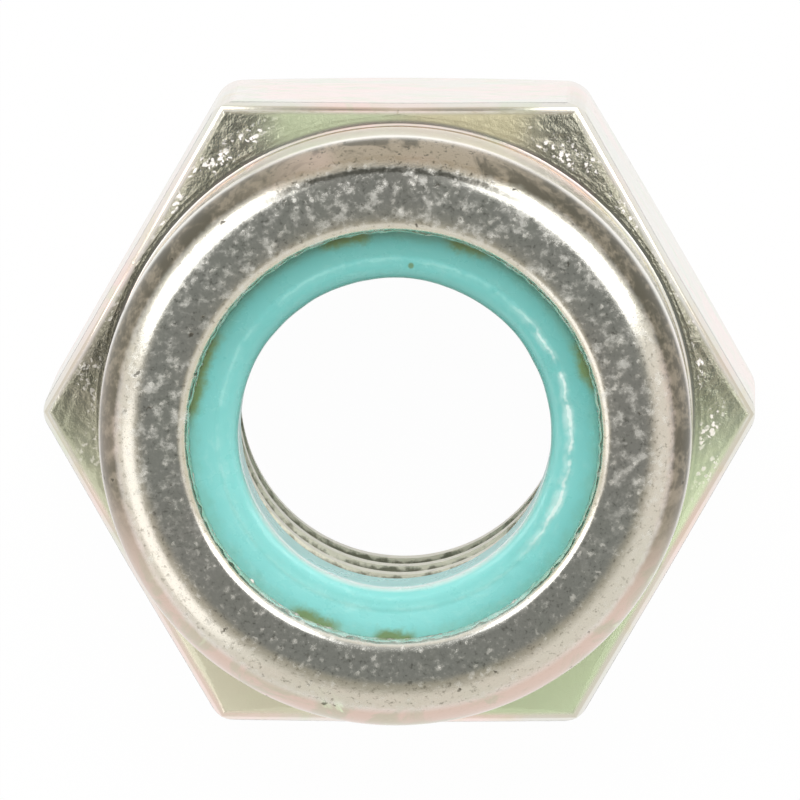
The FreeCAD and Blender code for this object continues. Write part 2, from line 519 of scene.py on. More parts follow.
def round_flat_edges(body, sizes):
    """Rounds the upper edge of each flat, in two halves that follow its fall, and of each corner."""
    collar_edge = sizes.foot_radius + sizes.foot_fillet

    def on_hexagon(middle):
        return math.hypot(middle.x, middle.y) > collar_edge and middle.z < sizes.hexagon_height

    half = sizes.across_flats / 2
    depth = sizes.edge_round * (1 - math.sin(sizes.shoulder_slope)) / math.cos(sizes.shoulder_slope)
    half_side = corner_distance(sizes) / 2
    middle_height = shoulder_height(sizes, half)
    fall = Vector((0, 0, shoulder_height(sizes, corner_distance(sizes)) - middle_height))
    for side in range(6):
        outwards = level_heading(SIXTH_TURN * side + SIXTH_TURN / 2)
        sideways = Vector((-outwards.y, outwards.x, 0))
        for hand in (-1, 1):
            along = sideways * hand * half_side + fall
            upwards = outwards.cross(along).normalized()
            if upwards.z < 0:
                upwards.negate()
            edge_centre = outwards * (half - sizes.edge_round)
            edge_centre += Vector((0, 0, middle_height)) - upwards * depth
            round_edge(body, sizes, on_hexagon, edge_centre, outwards, upwards)
    upwards = Vector(AXIS)
    for side in range(6):
        for fan in EDGE_FANS:
            outwards = level_heading(SIXTH_TURN * side + math.radians(fan))
            distance = corner_reach(sizes, fan)
            edge_centre = outwards * (distance - sizes.edge_round)
            edge_centre += upwards * (shoulder_height(sizes, distance) - depth)
            round_edge(body, sizes, on_hexagon, edge_centre, outwards, upwards)


def round_edge(body, sizes, chosen, edge_centre, outwards, upwards):
    """A few cuts that round an edge between an upright side and the shoulder."""
    for cut in range(1, EDGE_CUTS + 1):
        tilt = (QUARTER_TURN - sizes.shoulder_slope) * cut / (EDGE_CUTS + 1)
        normal = outwards * math.cos(tilt) + upwards * math.sin(tilt)
        select_faces(body, chosen)
        cut_off(edge_centre + normal * sizes.edge_round, normal)


def thread_cutter(thread):
    """A closed helical bar whose section is the groove between two crests."""
    inner = thread.crest_radius - GROOVE_OVERLAP
    root_half = thread.pitch / 8 / 2        # the groove's bottom is an eighth of the pitch wide
    mouth_half = root_half + (thread.radius - inner) * math.tan(thread.flank_angle / 2)
    cutter = drawn("thread_cutter", [
        (inner, thread.start - mouth_half),
        (thread.radius, thread.start - root_half),
        (thread.radius, thread.start + root_half),
        (inner, thread.start + mouth_half),
    ])
    bpy.ops.object.mode_set(mode="OBJECT")
    apply_modifier(cutter, "SCREW", {
        "axis": "Z",
        "angle": 2 * math.pi,
        "screw_offset": thread.pitch,
        "iterations": thread.turns,
        "steps": thread.steps,
        "render_steps": thread.steps,
        "use_merge_vertices": False,
    })
    bpy.ops.object.mode_set(mode="EDIT")
    bpy.ops.mesh.select_all(action="SELECT")
    bpy.ops.mesh.fill_holes(sides=0)
    close_shell()
    bpy.ops.object.mode_set(mode="OBJECT")
    return cutter


def cut_thread(body, thread):
    """Cuts the helical groove into the bore."""
    cutter = thread_cutter(thread)
    select_nothing()
    apply_modifier(body, "BOOLEAN", {"operation": "DIFFERENCE", "object": cutter, "solver": "MANIFOLD"})
    bpy.data.objects.remove(cutter)
    bpy.context.view_layer.objects.active = body
    bpy.ops.object.mode_set(mode="EDIT")
    close_shell()
    bpy.ops.object.mode_set(mode="OBJECT")


def steel_relief(body, sizes):
    """Unevenness of the cold formed surfaces, deep enough to show in the outline."""
    flat = sizes.across_flats / 2
    shoulder_start = sizes.foot_radius + 0.15 * MM
    crown_foot = sizes.height - sizes.crown_rise
    nose_root = bpy.context.scene.locking_ring.top
    facings = [level_heading(SIXTH_TURN * side + SIXTH_TURN / 2) for side in range(6)]

    def on_shoulder(point):
        radius = math.hypot(point.x, point.y)
        height = abs(point.z - shoulder_height(sizes, radius))
        if height > 0.02 * MM or radius < sizes.foot_radius:
            return 0
        from_edge = flat - max(facing.dot(point) for facing in facings)
        towards_rear = ramp(point.y, -3 * MM, -1 * MM)
        from_collar = ramp(radius, shoulder_start, shoulder_start + 0.3 * MM)
        return towards_rear * from_collar * ramp(from_edge, 0.12 * MM, 0.4 * MM)

    def on_crown(point):
        if math.hypot(point.x, point.y) < sizes.nose_radius - 0.01 * MM:
            return 0
        return ramp(point.z, crown_foot, crown_foot + 0.5 * MM)

    def on_nose(point):
        radius = math.hypot(point.x, point.y)
        inner_edge = ramp(radius, sizes.nose_radius + 0.06 * MM, sizes.nose_radius + 0.01 * MM)
        return inner_edge * ramp(point.z, nose_root - 0.02 * MM, nose_root + 0.03 * MM)

    roughen(body, "shoulder", on_shoulder, grain=0.22 * MM, depth=0.06 * MM)
    roughen(body, "crown", on_crown, grain=0.9 * MM, depth=0.012 * MM)
    roughen(body, "nose", on_nose, grain=0.2 * MM, depth=0.08 * MM)


def steel_body():
    """The steel nut with its flats, thread and crimped crown."""
    scene = bpy.context.scene
    sizes = scene.nut_body
    outline = bore_outline(sizes, scene.nut_thread) + crown_outline(sizes) + hexagon_outline(sizes)
    body = turned("steel_body", outline, sizes.steps)
    bpy.ops.object.mode_set(mode="EDIT")
    cut_flats(sizes)
    round_flat_edges(body, sizes)
    close_shell()
    bpy.ops.object.mode_set(mode="OBJECT")
    cut_thread(body, scene.nut_thread)
    steel_relief(body, sizes)
    smooth(body, degrees=28)
    return body


def ring_outline(sizes, ring):
    """The whole section of the ring, from the foot of its lead in outwards."""
    crease_height = ring.top - ring.face_drop
    crease = (ring.bore_radius + ring.crease_width, crease_height)
    rim = (ring.bore_radius, crease_height - ring.rim_drop)
    foot = (ring.bore_radius + ring.lead_in, ring.seat)
    outer_top = (sizes.recess_radius, ring.top - sizes.underside_drop)
    nose = (sizes.nose_radius, ring.top)
    points = [foot]
    points += straight(foot, (sizes.recess_radius, ring.seat), 2)
    points += straight(points[-1], outer_top, 2)
    points += rounded(outer_top, (sizes.recess_radius, ring.top), nose, 6)
    ridge_foot = (crease[0] + ring.crease_half, crease_height)
    points += straight(nose, ridge_foot, 16)
    points += straight(ridge_foot, (crease[0], crease_height + ring.crease_ridge), 2)
    points += straight(points[-1], (crease[0] - ring.crease_half, crease_height), 2)
    points += rounded(points[-1], (ring.bore_radius, crease_height), rim, 14)
    points += straight(rim, (ring.bore_radius, ring.seat + ring.lead_in), 8)
    return points


def locking_ring():
    """The nylon ring, dished between the lip and the bore."""
    scene = bpy.context.scene
    ring = scene.locking_ring
    sizes = scene.nut_body
    piece = turned("nylon_ring", ring_outline(sizes, ring), ring.steps)

    def on_face(point):
        radius = math.hypot(point.x, point.y)
        from_lip = ramp(radius, sizes.nose_radius + 0.08 * MM, sizes.nose_radius - 0.12 * MM)
        return from_lip * ramp(point.z, ring.top - 0.9 * MM, ring.top - 0.5 * MM)

    def on_crease(point):
        radius = math.hypot(point.x, point.y)
        spread = abs(radius - ring.bore_radius - ring.crease_width)
        scuffed = ramp(point.x, 1.2 * MM, 2.6 * MM)
        on_top = ramp(point.z, ring.top - 0.7 * MM, ring.top - 0.4 * MM)
        return ramp(spread, 0.25 * MM, 0.05 * MM) * on_top * (0.25 + 0.75 * scuffed)

    roughen(piece, "face", on_face, grain=1.1 * MM, depth=0.04 * MM)
    roughen(piece, "crease", on_crease, grain=0.3 * MM, depth=0.05 * MM)
    smooth(piece, degrees=35)
    return piece


def lip_burrs():
    """A thin ragged bead of steel along the lip's nose, larger at the burr sites."""
    scene = bpy.context.scene
    burrs = scene.lip_burrs
    middle_radius = scene.nut_body.nose_radius + burrs.inset
    middle_height = scene.locking_ring.top + burrs.lift
    outline = []
    for corner in range(burrs.corners):
        turn = 2 * math.pi * corner / burrs.corners
        radius = middle_radius + burrs.radius * math.cos(turn)
        outline.append((radius, middle_height + burrs.radius * math.sin(turn)))
    piece = turned("lip_burrs", outline, burrs.steps)

    def at_sites(point):
        heading = math.degrees(math.atan2(point.y, point.x))
        weight = burrs.everywhere
        for azimuth, size in BURR_SITES:
            apart = abs((heading - azimuth + 180) % 360 - 180)
            weight = max(weight, size * ramp(apart, 4, 0))
        return weight

    roughen(piece, "waves", at_sites, grain=0.5 * MM, depth=burrs.raggedness)
    roughen(piece, "burrs", at_sites, grain=0.11 * MM, depth=burrs.raggedness)
    smooth(piece, degrees=60)
    return piece


class Signal:
    """A socket that can be used in sums, each of which adds a Math node."""

    def __init__(self, finish, socket):
        self.finish = finish
        self.socket = socket

    def maths(self, operation, first, second):
        return self.finish.node("ShaderNodeMath", {"operation": operation}, {0: first, 1: second})

    def __add__(self, other):
        return self.maths("ADD", self, other)

    def __radd__(self, other):
        return self.maths("ADD", other, self)

    def __sub__(self, other):
        return self.maths("SUBTRACT", self, other)

    def __rsub__(self, other):
        return self.maths("SUBTRACT", other, self)

    def __mul__(self, other):
        return self.maths("MULTIPLY", self, other)

    def __rmul__(self, other):
        return self.maths("MULTIPLY", other, self)


class Finish:
    """The node tree of one material or world."""

    def __init__(self, owner):
        owner.use_nodes = True
        self.tree = owner.node_tree
        self.tree.nodes.clear()

    def node(self, kind, settings=None, inputs=None, output=0):
        """Adds a node: its settings first, then its inputs; returns one output as a Signal."""
        node = self.tree.nodes.new(kind)
        for name, value in (settings or {}).items():
            setattr(node, name, value)
        for name, value in (inputs or {}).items():
            if isinstance(value, Signal):
                self.tree.links.new(value.socket, node.inputs[name])
            else:
                node.inputs[name].default_value = value
        return Signal(self, node.outputs[output]) if node.outputs else None

    def rise(self, value, low, high):
        """0 at low, 1 at high and smooth between; low may be the larger one."""
        return self.node(
            "ShaderNodeMapRange",
            {"interpolation_type": "SMOOTHSTEP"},
            {"Value": value, "From Min": low, "From Max": high, "To Min": 0, "To Max": 1},
        )

    def blend(self, factor, first, second):
        """A colour between two colours."""
        return self.node(
            "ShaderNodeMix",
            {"data_type": "RGBA"},
            {0: factor, 6: self.colour(first), 7: self.colour(second)},
            output=2,
        )

    def layered(self, colour, layers):
        """A colour covered by one layer after another, each given by its mask and its colour."""
        for mask, cover in layers:
            colour = self.blend(mask, colour, cover)
        return colour

    @staticmethod
    def colour(value):
        """A colour with its alpha, or the signal that it already is."""
        return value if isinstance(value, Signal) else (*value, 1)

    def size_of(self, value):
        """The value without its sign."""
        return self.node("ShaderNodeMath", {"operation": "ABSOLUTE"}, {0: value})

    def largest(self, first, second):
        """The larger of two values."""
        return self.node("ShaderNodeMath", {"operation": "MAXIMUM"}, {0: first, 1: second})

    def vector(self, operation, first, second=None, output=0):
        """A Vector Math node."""
        inputs = {0: first}
        if second is not None:
            inputs[1] = second
        return self.node("ShaderNodeVectorMath", {"operation": operation}, inputs, output)

    def dot(self, first, second):
        """The dot product of two vectors."""
        return self.vector("DOT_PRODUCT", first, second, output="Value")

    def patch(self, direction, azimuth, zenith, outer, inner):
        """1 within the inner angle of a heading and 0 beyond the outer one, in degrees."""
        closeness = self.dot(direction, tuple(direction_to(azimuth, zenith)))
        return self.rise(closeness, math.cos(math.radians(outer)), math.cos(math.radians(inner)))

    def cloud(self, place, scale, detail=3, roughness=0.55, distortion=0):
        """Fractal noise around 0.5."""
        return self.node("ShaderNodeTexNoise", {}, {
            "Vector": place,
            "Scale": scale,
            "Detail": detail,
            "Roughness": roughness,
            "Distortion": distortion,
        })

    def cells(self, place, scale, output="Distance"):
        """Distance to the nearest point of a scattered set, or that point's own colour."""
        return self.node("ShaderNodeTexVoronoi", {}, {"Vector": place, "Scale": scale}, output)


class Place:
    """Where a point of the surface lies, in millimetres."""

    def __init__(self, finish):
        point = finish.node("ShaderNodeTexCoord", output="Object")
        self.point = finish.vector("MULTIPLY", point, (1 / MM, 1 / MM, 1 / MM))
        self.level = finish.vector("MULTIPLY", self.point, (1, 1, 0))
        self.radius = finish.vector("LENGTH", self.level, output="Value")
        self.x = finish.dot(self.point, (1, 0, 0))
        self.y = finish.dot(self.point, (0, 1, 0))
        self.z = finish.dot(self.point, (0, 0, 1))
        self.sideways = finish.size_of(self.x)
        self.across = finish.size_of(self.y)
        # Two flats face along Y and the other four lie 30 degrees from X
        for azimuth in (30, 150):
            reach = finish.dot(self.point, tuple(direction_to(azimuth, 90)))
            self.across = finish.largest(self.across, finish.size_of(reach))


class Noise:
    """Fractal noise around 0.5 in five grain sizes, the coarsest first."""

    def __init__(self, finish, point):
        self.wide = finish.cloud(point, 0.28, detail=2, roughness=0.5)
        self.patchy = finish.cloud(point, 0.9, detail=4, roughness=0.6, distortion=0.6)
        self.mottle = finish.cloud(point, 3.6, detail=3, roughness=0.62)
        self.grain = finish.cloud(point, 9, detail=4, roughness=0.7)
        self.fine = finish.cloud(point, 22, detail=3, roughness=0.6)


class SteelRegions:
    """Masks of the steel body, each above 0 only on its own surface."""

    def __init__(self, finish, at, noise):
        rise = finish.rise
        sizes = bpy.context.scene.nut_body
        foot = sizes.hexagon_height / MM
        collar = sizes.foot_radius / MM
        flat = sizes.across_flats / 2 / MM
        nose = sizes.nose_radius / MM
        widest = sizes.widest_radius / MM
        widest_height = (sizes.height - sizes.crown_rise) / MM
        seat = bpy.context.scene.locking_ring.seat / MM
        crest = bpy.context.scene.nut_thread.crest_radius / MM

        self.front = rise(at.y, 1.5, -2.5)
        # Painted shade: this mask darkens the slope at the flanks and the rear.
        self.flank = rise(at.y, -3.5, -0.5) * rise(at.sideways, 1.4, 3.6)
        self.flank = self.flank * (0.85 + rise(at.x, -2, 2) * 0.15)
        self.crown = rise(at.z, foot + 0.3, foot + 0.7)
        self.crown_top = self.crown * rise(at.radius, widest - 0.33, widest - 0.55)
        self.lip = self.crown * rise(at.radius, nose + 0.18, nose + 0.10)
        # Painted highlight: the lip's inner edge is whitened and made matte in front.
        ragged_lip_radius = at.radius + (noise.mottle - 0.5) * 0.24
        self.front_lip_highlight = self.crown * rise(ragged_lip_radius, nose + 0.26, nose + 0.12)
        self.front_lip_highlight = self.front_lip_highlight * rise(at.y, -2.8, -3.6)

        crown_edge = rise(at.z, widest_height + 0.10, widest_height + 0.42)
        front_edge = rise(at.z, widest_height - 0.25, widest_height + 0.2)
        crown_edge = finish.largest(crown_edge, self.front * front_edge)
        frayed = at.radius + (noise.mottle - 0.5) * 0.18 + rise(at.sideways, 4, 2) * self.front * 0.4
        rear_slope = rise(frayed, widest - 0.71, widest - 0.53)
        rear_slope = rear_slope * rise(at.sideways, 2.6, 1.6) * rise(at.y, 0, 1)
        self.slope = (rise(frayed, widest - 0.53, widest - 0.31) + rear_slope) * crown_edge
        seam = rise(finish.size_of(frayed - (widest - 0.61)), 0.07, 0.02)
        self.seam = seam * self.crown * rise(at.y, 1.5, 3.5) * rise(at.sideways, 3.4, 2)

        self.shoulder = rise(at.z, foot - 0.72, foot - 0.52) * rise(at.z, foot + 0.04, foot - 0.02)
        self.shoulder = self.shoulder * rise(at.radius, collar + 0.05, collar + 0.15)
        self.shoulder = self.shoulder * rise(at.across, flat - 0.14, flat - 0.26)
        self.strip = self.shoulder * rise(at.sideways, 3.3, 2.2) * rise(at.y, 5, 6)
        # The front shoulders turn matte to show their painted reflection.
        self.pale_land = finish.largest(self.strip * 0.75, self.shoulder * self.front)
        self.side = rise(at.across, flat - 0.01, flat - 0.002)

        self.wall = rise(at.z, foot + 0.12, foot + 0.24)
        self.wall = self.wall * rise(at.z, widest_height + 0.42, widest_height + 0.10)
        self.wall = self.wall * rise(at.radius, collar - 0.07, collar - 0.02)
        self.bore = rise(at.radius, nose + 0.28, nose + 0.08) * rise(at.z, seat + 0.1, seat - 0.1)
        self.groove = self.bore * rise(at.radius + (noise.mottle - 0.5) * 0.4, crest + 0.02, crest + 0.12)


class SteelMarks:
    """Small marks on the plating, each above 0 only on the marks."""

    def __init__(self, finish, at, noise, regions):
        rise = finish.rise
        jitter = finish.vector("MULTIPLY", finish.cloud(at.point, 6), (0.3, 0.3, 0.3))
        jittered = finish.vector("ADD", at.point, jitter)

        def spots(scale, border, core, none, full):
            """Round spots at those points of a scattered set whose random number reaches a limit."""
            shape = rise(finish.cells(jittered, scale), border, core)
            return shape * rise(finish.cells(jittered, scale, output="Color"), none, full)

        dust = rise(noise.grain, 0.52, 0.74)
        flakes = spots(5.5, border=0.50, core=0.10, none=0.50, full=0.64) * 0.6 + dust * 0.4
        self.flakes = flakes * regions.crown_top * rise(noise.mottle, 0.30, 0.52)
        self.pale = rise(noise.mottle, 0.48, 0.72) * rise(at.y, -3.5, 0.5) * regions.crown_top
        shaded = regions.slope * (0.5 - regions.front * 0.42) + regions.crown_top * 0.5
        self.shadows = rise(noise.grain, 0.46, 0.30) * shaded
        self.shadows = self.shadows + rise(noise.grain, 0.35, 0.27) * regions.side * 0.35
        self.pits = spots(2.6, border=0.17, core=0.07, none=0.68, full=0.72)
        self.pits = self.pits * finish.largest(regions.crown, regions.side * 0.7)

        collar = bpy.context.scene.nut_body.foot_radius / MM
        belt = rise(at.radius, collar + 0.19, collar + 0.29) * rise(at.radius, collar + 0.80, collar + 0.57)
        belt = belt * rise(at.y, -2.2, -0.6) * (1 - rise(at.sideways, 3.0, 2.4) * rise(at.y, 4, 5))
        clusters = rise(finish.cloud(at.point, 1.6, 3, 0.6), 0.44, 0.52)
        belt = belt * (1 - rise(at.x, -4.6, -5.6) * 0.6)
        # Painted glints: matte white spots in clusters on the shoulder belt.
        self.glints = spots(8.5, border=0.52, core=0.30, none=0.20, full=0.30)
        self.glints = self.glints * belt * clusters * regions.shoulder


def rubbed_and_reflection_colour(finish, at, noise, regions, settings):
    """Colour of the crown's outer slope: tan, copper in places, with painted shade that darkens the flanks
    and the rear and a painted reflection that makes the front paler.
    """
    rise = finish.rise
    blotches = finish.largest(rise(noise.patchy, 0.50, 0.62), rise(noise.mottle, 0.36, 0.60))
    darkened = regions.flank * (0.45 + blotches * 0.55)
    copper = rise(noise.wide, 0.50, 0.62) * (0.55 - regions.flank * 0.5)
    pale = finish.layered(settings.front_tan_and_reflection, (
        (rise(noise.patchy, 0.42, 0.54), settings.salmon),
        (rise(noise.patchy, 0.40, 0.30) * 0.6, settings.land_bright_and_sheen),
    ))
    # Painted shade at the flanks and the rear, painted reflection in front.
    return finish.layered(settings.tan, (
        (darkened, settings.brown_and_shade),
        (rise(noise.patchy, 0.50, 0.62) * rise(at.y, 1, 3) * 0.8, settings.brown_and_shade),
        (copper, settings.salmon),
        (rise(at.y, -1.5, -4), pale),
    ))


def shoulder_colour(finish, at, noise, regions, settings):
    """Colour of the shoulders: the plating's film, with painted shade that darkens the rear corners and a
    painted reflection that makes the front pale; darker still at the left corner.
    """
    sway = (noise.patchy - 0.5) * 6
    left_corner = finish.rise(at.x, -4.6, -6)
    front = finish.layered(settings.land_front_and_sheen, (
        (finish.rise(at.x + sway, -1, 1), settings.land_bright_and_sheen),
        (left_corner * 0.8, settings.land_green),
    ))
    rear = finish.blend(left_corner * 0.7, settings.olive_and_shade, settings.brown_and_shade)
    return finish.blend(regions.front, rear, front)


def film_colour(finish, at, noise, regions, settings):
    """Colour of the plating's thin film over the whole body."""
    rise = finish.rise
    rubbed_and_reflection = rubbed_and_reflection_colour(finish, at, noise, regions, settings)
    covered = finish.largest(regions.flank, rise(noise.patchy, 0.12, 0.30))
    land = shoulder_colour(finish, at, noise, regions, settings)
    strip = finish.blend(rise(at.x, -0.6, 0.8), settings.land_green, settings.land_straw)
    stretched = finish.vector("MULTIPLY", at.point, (1, 1, 2.2))
    clouds = finish.cloud(stretched, 1.3, 4, 0.65, 0.8)
    return finish.layered(settings.silver, (
        (rise(noise.wide, 0.40, 0.64), settings.pink),
        (rise(noise.patchy, 0.50, 0.72) * 0.55, settings.green),
        (rise(noise.patchy, 0.48, 0.30) * 0.5, settings.straw),
        (regions.slope * covered, rubbed_and_reflection),
        (regions.crown_top * 0.85, settings.silver),
        (regions.lip * 0.8, settings.cream),
        (regions.seam * 0.7, settings.brown_and_shade),
        (regions.shoulder * (0.7 + noise.patchy * 0.4), land),
        (regions.strip, strip),
        (regions.wall * 0.7, settings.wall),
        (regions.bore * 0.9, settings.cream),
        # Painted shade in the grooves of the thread.
        (regions.groove * 0.85, settings.groove_shade),
        (regions.side * rise(clouds, 0.49, 0.38) * 0.5, settings.green),
        (regions.side * rise(clouds, 0.52, 0.64) * 0.7, settings.pink),
    ))


def plated_steel(settings):
    """Zinc plating with a thin iridescent film, tan on the crown's outer slope and pitted, with painted
    shade, reflection, highlights and glints in places.
    """
    material = bpy.data.materials.new("plated_steel")
    finish = Finish(material)
    at = Place(finish)
    noise = Noise(finish, at.point)
    regions = SteelRegions(finish, at, noise)
    marks = SteelMarks(finish, at, noise, regions)

    colour = finish.layered(film_colour(finish, at, noise, regions, settings), (
        (marks.flakes * 0.6, settings.flake),
        (marks.shadows, settings.brown_and_shade),
        (marks.pale * 0.7, settings.flake),
        # Painted highlight along the front of the lip.
        (regions.front_lip_highlight * 0.8, settings.flake),
        (marks.pits * 0.8, settings.pit),
        (marks.glints, settings.glint),
    ))

    rise = finish.rise
    metallic = 1 - (marks.flakes + marks.pale) * 0.45 - marks.glints * 0.85
    metallic = metallic - (regions.bore - regions.groove * 0.5) * 0.5 - regions.pale_land * 0.85
    # Painted highlight: the rear of the collar's wall is made more matte, so that its pale colour shows
    # bright there.
    metallic = metallic - regions.side * 0.15 - regions.wall * (0.2 + rise(at.y, 4.6, 5.6) * 0.5)
    # The front of the lip is made matte for that painted highlight.
    metallic = metallic - regions.front_lip_highlight * noise.mottle * 0.6
    roughness = settings.steel_roughness + noise.grain * 0.10 + marks.flakes * 0.25
    roughness = roughness + marks.pits * 0.2 + regions.bore * 0.15

    relief = noise.fine * 0.25 + noise.grain * 0.8 + noise.mottle * 1.2
    relief = relief + marks.flakes * 0.5 - marks.pits * 1.2
    depth = 0.06 + regions.crown_top * 0.05 + regions.slope * 0.14 + regions.bore * 0.6
    depth = depth + regions.shoulder * (1 - regions.front) * 2.2
    normal = finish.node(
        "ShaderNodeBump", {}, {"Strength": 0.4, "Distance": 40 * MICRON, "Height": relief * depth}
    )
    surface = finish.node("ShaderNodeBsdfPrincipled", {}, {
        "Base Color": colour,
        "Metallic": metallic,
        "Roughness": roughness,
        "Normal": normal,
    })
    finish.node("ShaderNodeOutputMaterial", {}, {"Surface": surface})
    return material


def nylon_colour(finish, at, scuffs, settings):
    """Colour of the nylon: shaded at the rear, whitened at the rim and the crease as painted highlights, in
    part scuffed, stained at the lip.
    """
    rise = finish.rise
    ring = bpy.context.scene.locking_ring
    bore = ring.bore_radius / MM
    crease_radius = bore + ring.crease_width / MM
    nose = bpy.context.scene.nut_body.nose_radius / MM
    heading = finish.vector("NORMALIZE", at.level)
    on_face = rise(at.z, ring.top / MM - 0.6, ring.top / MM - 0.4)

    shade = rise(at.y, -1.5, 3.0) * 0.55 + rise(at.radius, nose - 0.62, nose - 0.02) * 0.35
    shade = shade + rise(at.x, 0.5, 3.5) * rise(at.y, 3, 1) * 0.26
    rim = rise(at.radius, bore + 0.09, bore) * on_face
    wavy = at.radius + (finish.cloud(at.point, 2.4, 3, 0.6) - 0.5) * 0.22
    crease = rise(finish.size_of(wavy - crease_radius - 0.02), 0.045, 0.012) * on_face
    halo = rise(finish.size_of(wavy - crease_radius), 0.16, 0.02) * on_face
    broken = rise(finish.cloud(at.point, 1.7, 3, 0.6), 0.36, 0.58)
    right_side = finish.patch(heading, azimuth=2, zenith=90, outer=50, inner=50 / 3)
    speck = rise(finish.vector("DISTANCE", at.level, RING_SPECK, output="Value"), 0.08, 0.04)
    stained = STAINED_EVERYWHERE
    for azimuth, outer in STAIN_SITES:
        stained = stained + finish.patch(heading, azimuth, zenith=90, outer=outer, inner=outer / 3)
    ragged = (finish.cloud(at.point, 2.6, 5, 0.7) - 0.5) * 0.5
    near_lip = rise(at.radius + ragged, nose - 0.3, nose)
    return finish.layered(settings.nylon, (
        (rise(scuffs, 0.52, 0.74) * 0.35, settings.nylon_worn_and_sheen),
        (shade, settings.nylon_deep),
        # Painted highlight along the rim, strongest in front.
        (rim * (0.4 + rise(at.y, 0.5, -2) * 0.5), settings.nylon_worn_and_sheen),
        (rim * rise(at.y, -0.5, -2.5) * 0.7, settings.scuff_and_highlight),
        # Painted highlight along the crease, strongest on the right, in part scuffed.
        ((crease * 0.8 + halo * 0.45) * broken * right_side, settings.scuff_and_highlight),
        ((crease * 0.2 + halo * 0.15) * broken, settings.nylon_worn_and_sheen),
        (speck * 0.8, settings.stain),
        (near_lip * stained * 0.9, settings.stain),
    ))


def dyed_nylon(settings):
    """Glossy dyed nylon, pale with wear in places and with painted highlights at the rim and the crease,
    with stains where it meets the lip.
    """
    material = bpy.data.materials.new("dyed_nylon")
    finish = Finish(material)
    at = Place(finish)
    patchy = finish.cloud(at.point, 1.4, 4, 0.6)
    fine = finish.cloud(at.point, 18, 3, 0.6)
    scuffs = finish.cloud(finish.vector("MULTIPLY", at.point, (1.2, 1.2, 9)), 2.2, 4, 0.6)
    relief = fine * 0.3 + patchy + scuffs
    normal = finish.node("ShaderNodeBump", {}, {"Strength": 0.2, "Distance": 30 * MICRON, "Height": relief})
    face = bpy.context.scene.locking_ring.top / MM
    surface = finish.node("ShaderNodeBsdfPrincipled", {}, {
        "Base Color": nylon_colour(finish, at, scuffs, settings),
        "Roughness": settings.nylon_roughness + patchy * 0.12,
        "Normal": normal,
        "IOR": 1.53,
        "Coat Weight": finish.rise(at.z, face - 0.7, face - 0.45) * 0.5,
        "Coat Roughness": 0.06,
        "Subsurface Weight": 0.2,
        "Subsurface Radius": (0.6, 1.0, 0.9),
        "Subsurface Scale": 0.4 * MM,
    })
    finish.node("ShaderNodeOutputMaterial", {}, {"Surface": surface})
    return material


def floor_material(settings):
    """Glows white to the camera and in reflections, and is plain paper to all other light."""
    material = bpy.data.materials.new("pale_floor")
    finish = Finish(material)
    shown = finish.node("ShaderNodeLightPath", output="Is Camera Ray")
    shown = shown + finish.node("ShaderNodeLightPath", output="Is Glossy Ray")
    shown = shown + finish.node("ShaderNodeLightPath", output="Is Transmission Ray")
    paper = finish.node("ShaderNodeBsdfDiffuse", {}, {"Color": (*settings.paper, 1)})
    glow = finish.node("ShaderNodeEmission", {}, {"Color": (1, 1, 1, 1), "Strength": 1.0})
    factor = shown * settings.floor_glow
    surface = finish.node("ShaderNodeMixShader", {}, {0: factor, 1: paper, 2: glow})
    finish.node("ShaderNodeOutputMaterial", {}, {"Surface": surface})
    return material


def studio_floor(settings):
    """A wide floor under the nut."""
    select_nothing()
    bpy.ops.mesh.primitive_plane_add(size=settings.floor_side, location=(0, 0, -settings.floor_gap))
    floor = bpy.context.object
    floor.name = "floor"
    floor.data.materials.append(floor_material(settings))


def studio_world(settings):
    """A pale room, dimmer overhead, with a dark patch around the camera."""
    world = bpy.data.worlds.new("studio")
    bpy.context.scene.world = world
    finish = Finish(world)
    direction = finish.node("ShaderNodeTexCoord", output="Generated")
    height = finish.dot(direction, AXIS)
    rear = finish.patch(direction, azimuth=90, zenith=78, outer=34, inner=16)
    camera_side = finish.patch(direction, azimuth=90, zenith=22, outer=52, inner=38)
    colour = finish.layered(settings.ceiling, (
        (finish.rise(height, 0.88, 0.58), settings.walls),
        (rear, settings.rear_wall),
        (finish.rise(height, 0.18, 0.02), settings.horizon),
        (camera_side, settings.camera_shade),
    ))
    glow = finish.node("ShaderNodeBackground", {}, {"Color": colour, "Strength": 1.0})
    finish.node("ShaderNodeOutputWorld", {}, {"Surface": glow})


def lamp(name, azimuth, zenith, size, level, reflected):
    """A rectangular lamp that faces the nut and is only reflected, or only lights; level 1 looks white."""
    width, depth = size
    data = bpy.data.lights.new(name, "AREA")
    data.shape = "RECTANGLE"
    data.size = width
    data.size_y = depth
    data.energy = level * math.pi * width * depth
    light = bpy.data.objects.new(name, data)
    bpy.context.scene.collection.objects.link(light)
    towards = direction_to(azimuth, zenith)
    light.location = towards * bpy.context.scene.nut_studio.lamp_distance
    light.rotation_euler = towards.to_track_quat("Z", "Y").to_euler()
    light.visible_glossy = reflected
    light.visible_diffuse = not reflected


def studio_lamps(settings):
    """One wide lamp that lights the nut, and three soft boxes that the steel and the ring reflect."""
    level = settings.card_level
    front_level = level * settings.front_share
    lamp("key", azimuth=90, zenith=35, size=(0.35, 0.35), level=settings.key_level, reflected=False)
    lamp("right_card", azimuth=44, zenith=55, size=(0.36, 0.30), level=level, reflected=True)
    lamp("left_card", azimuth=143, zenith=58, size=(0.36, 0.24), level=level, reflected=True)
    lamp("front_card", azimuth=208, zenith=57, size=(0.40, 0.22), level=front_level, reflected=True)


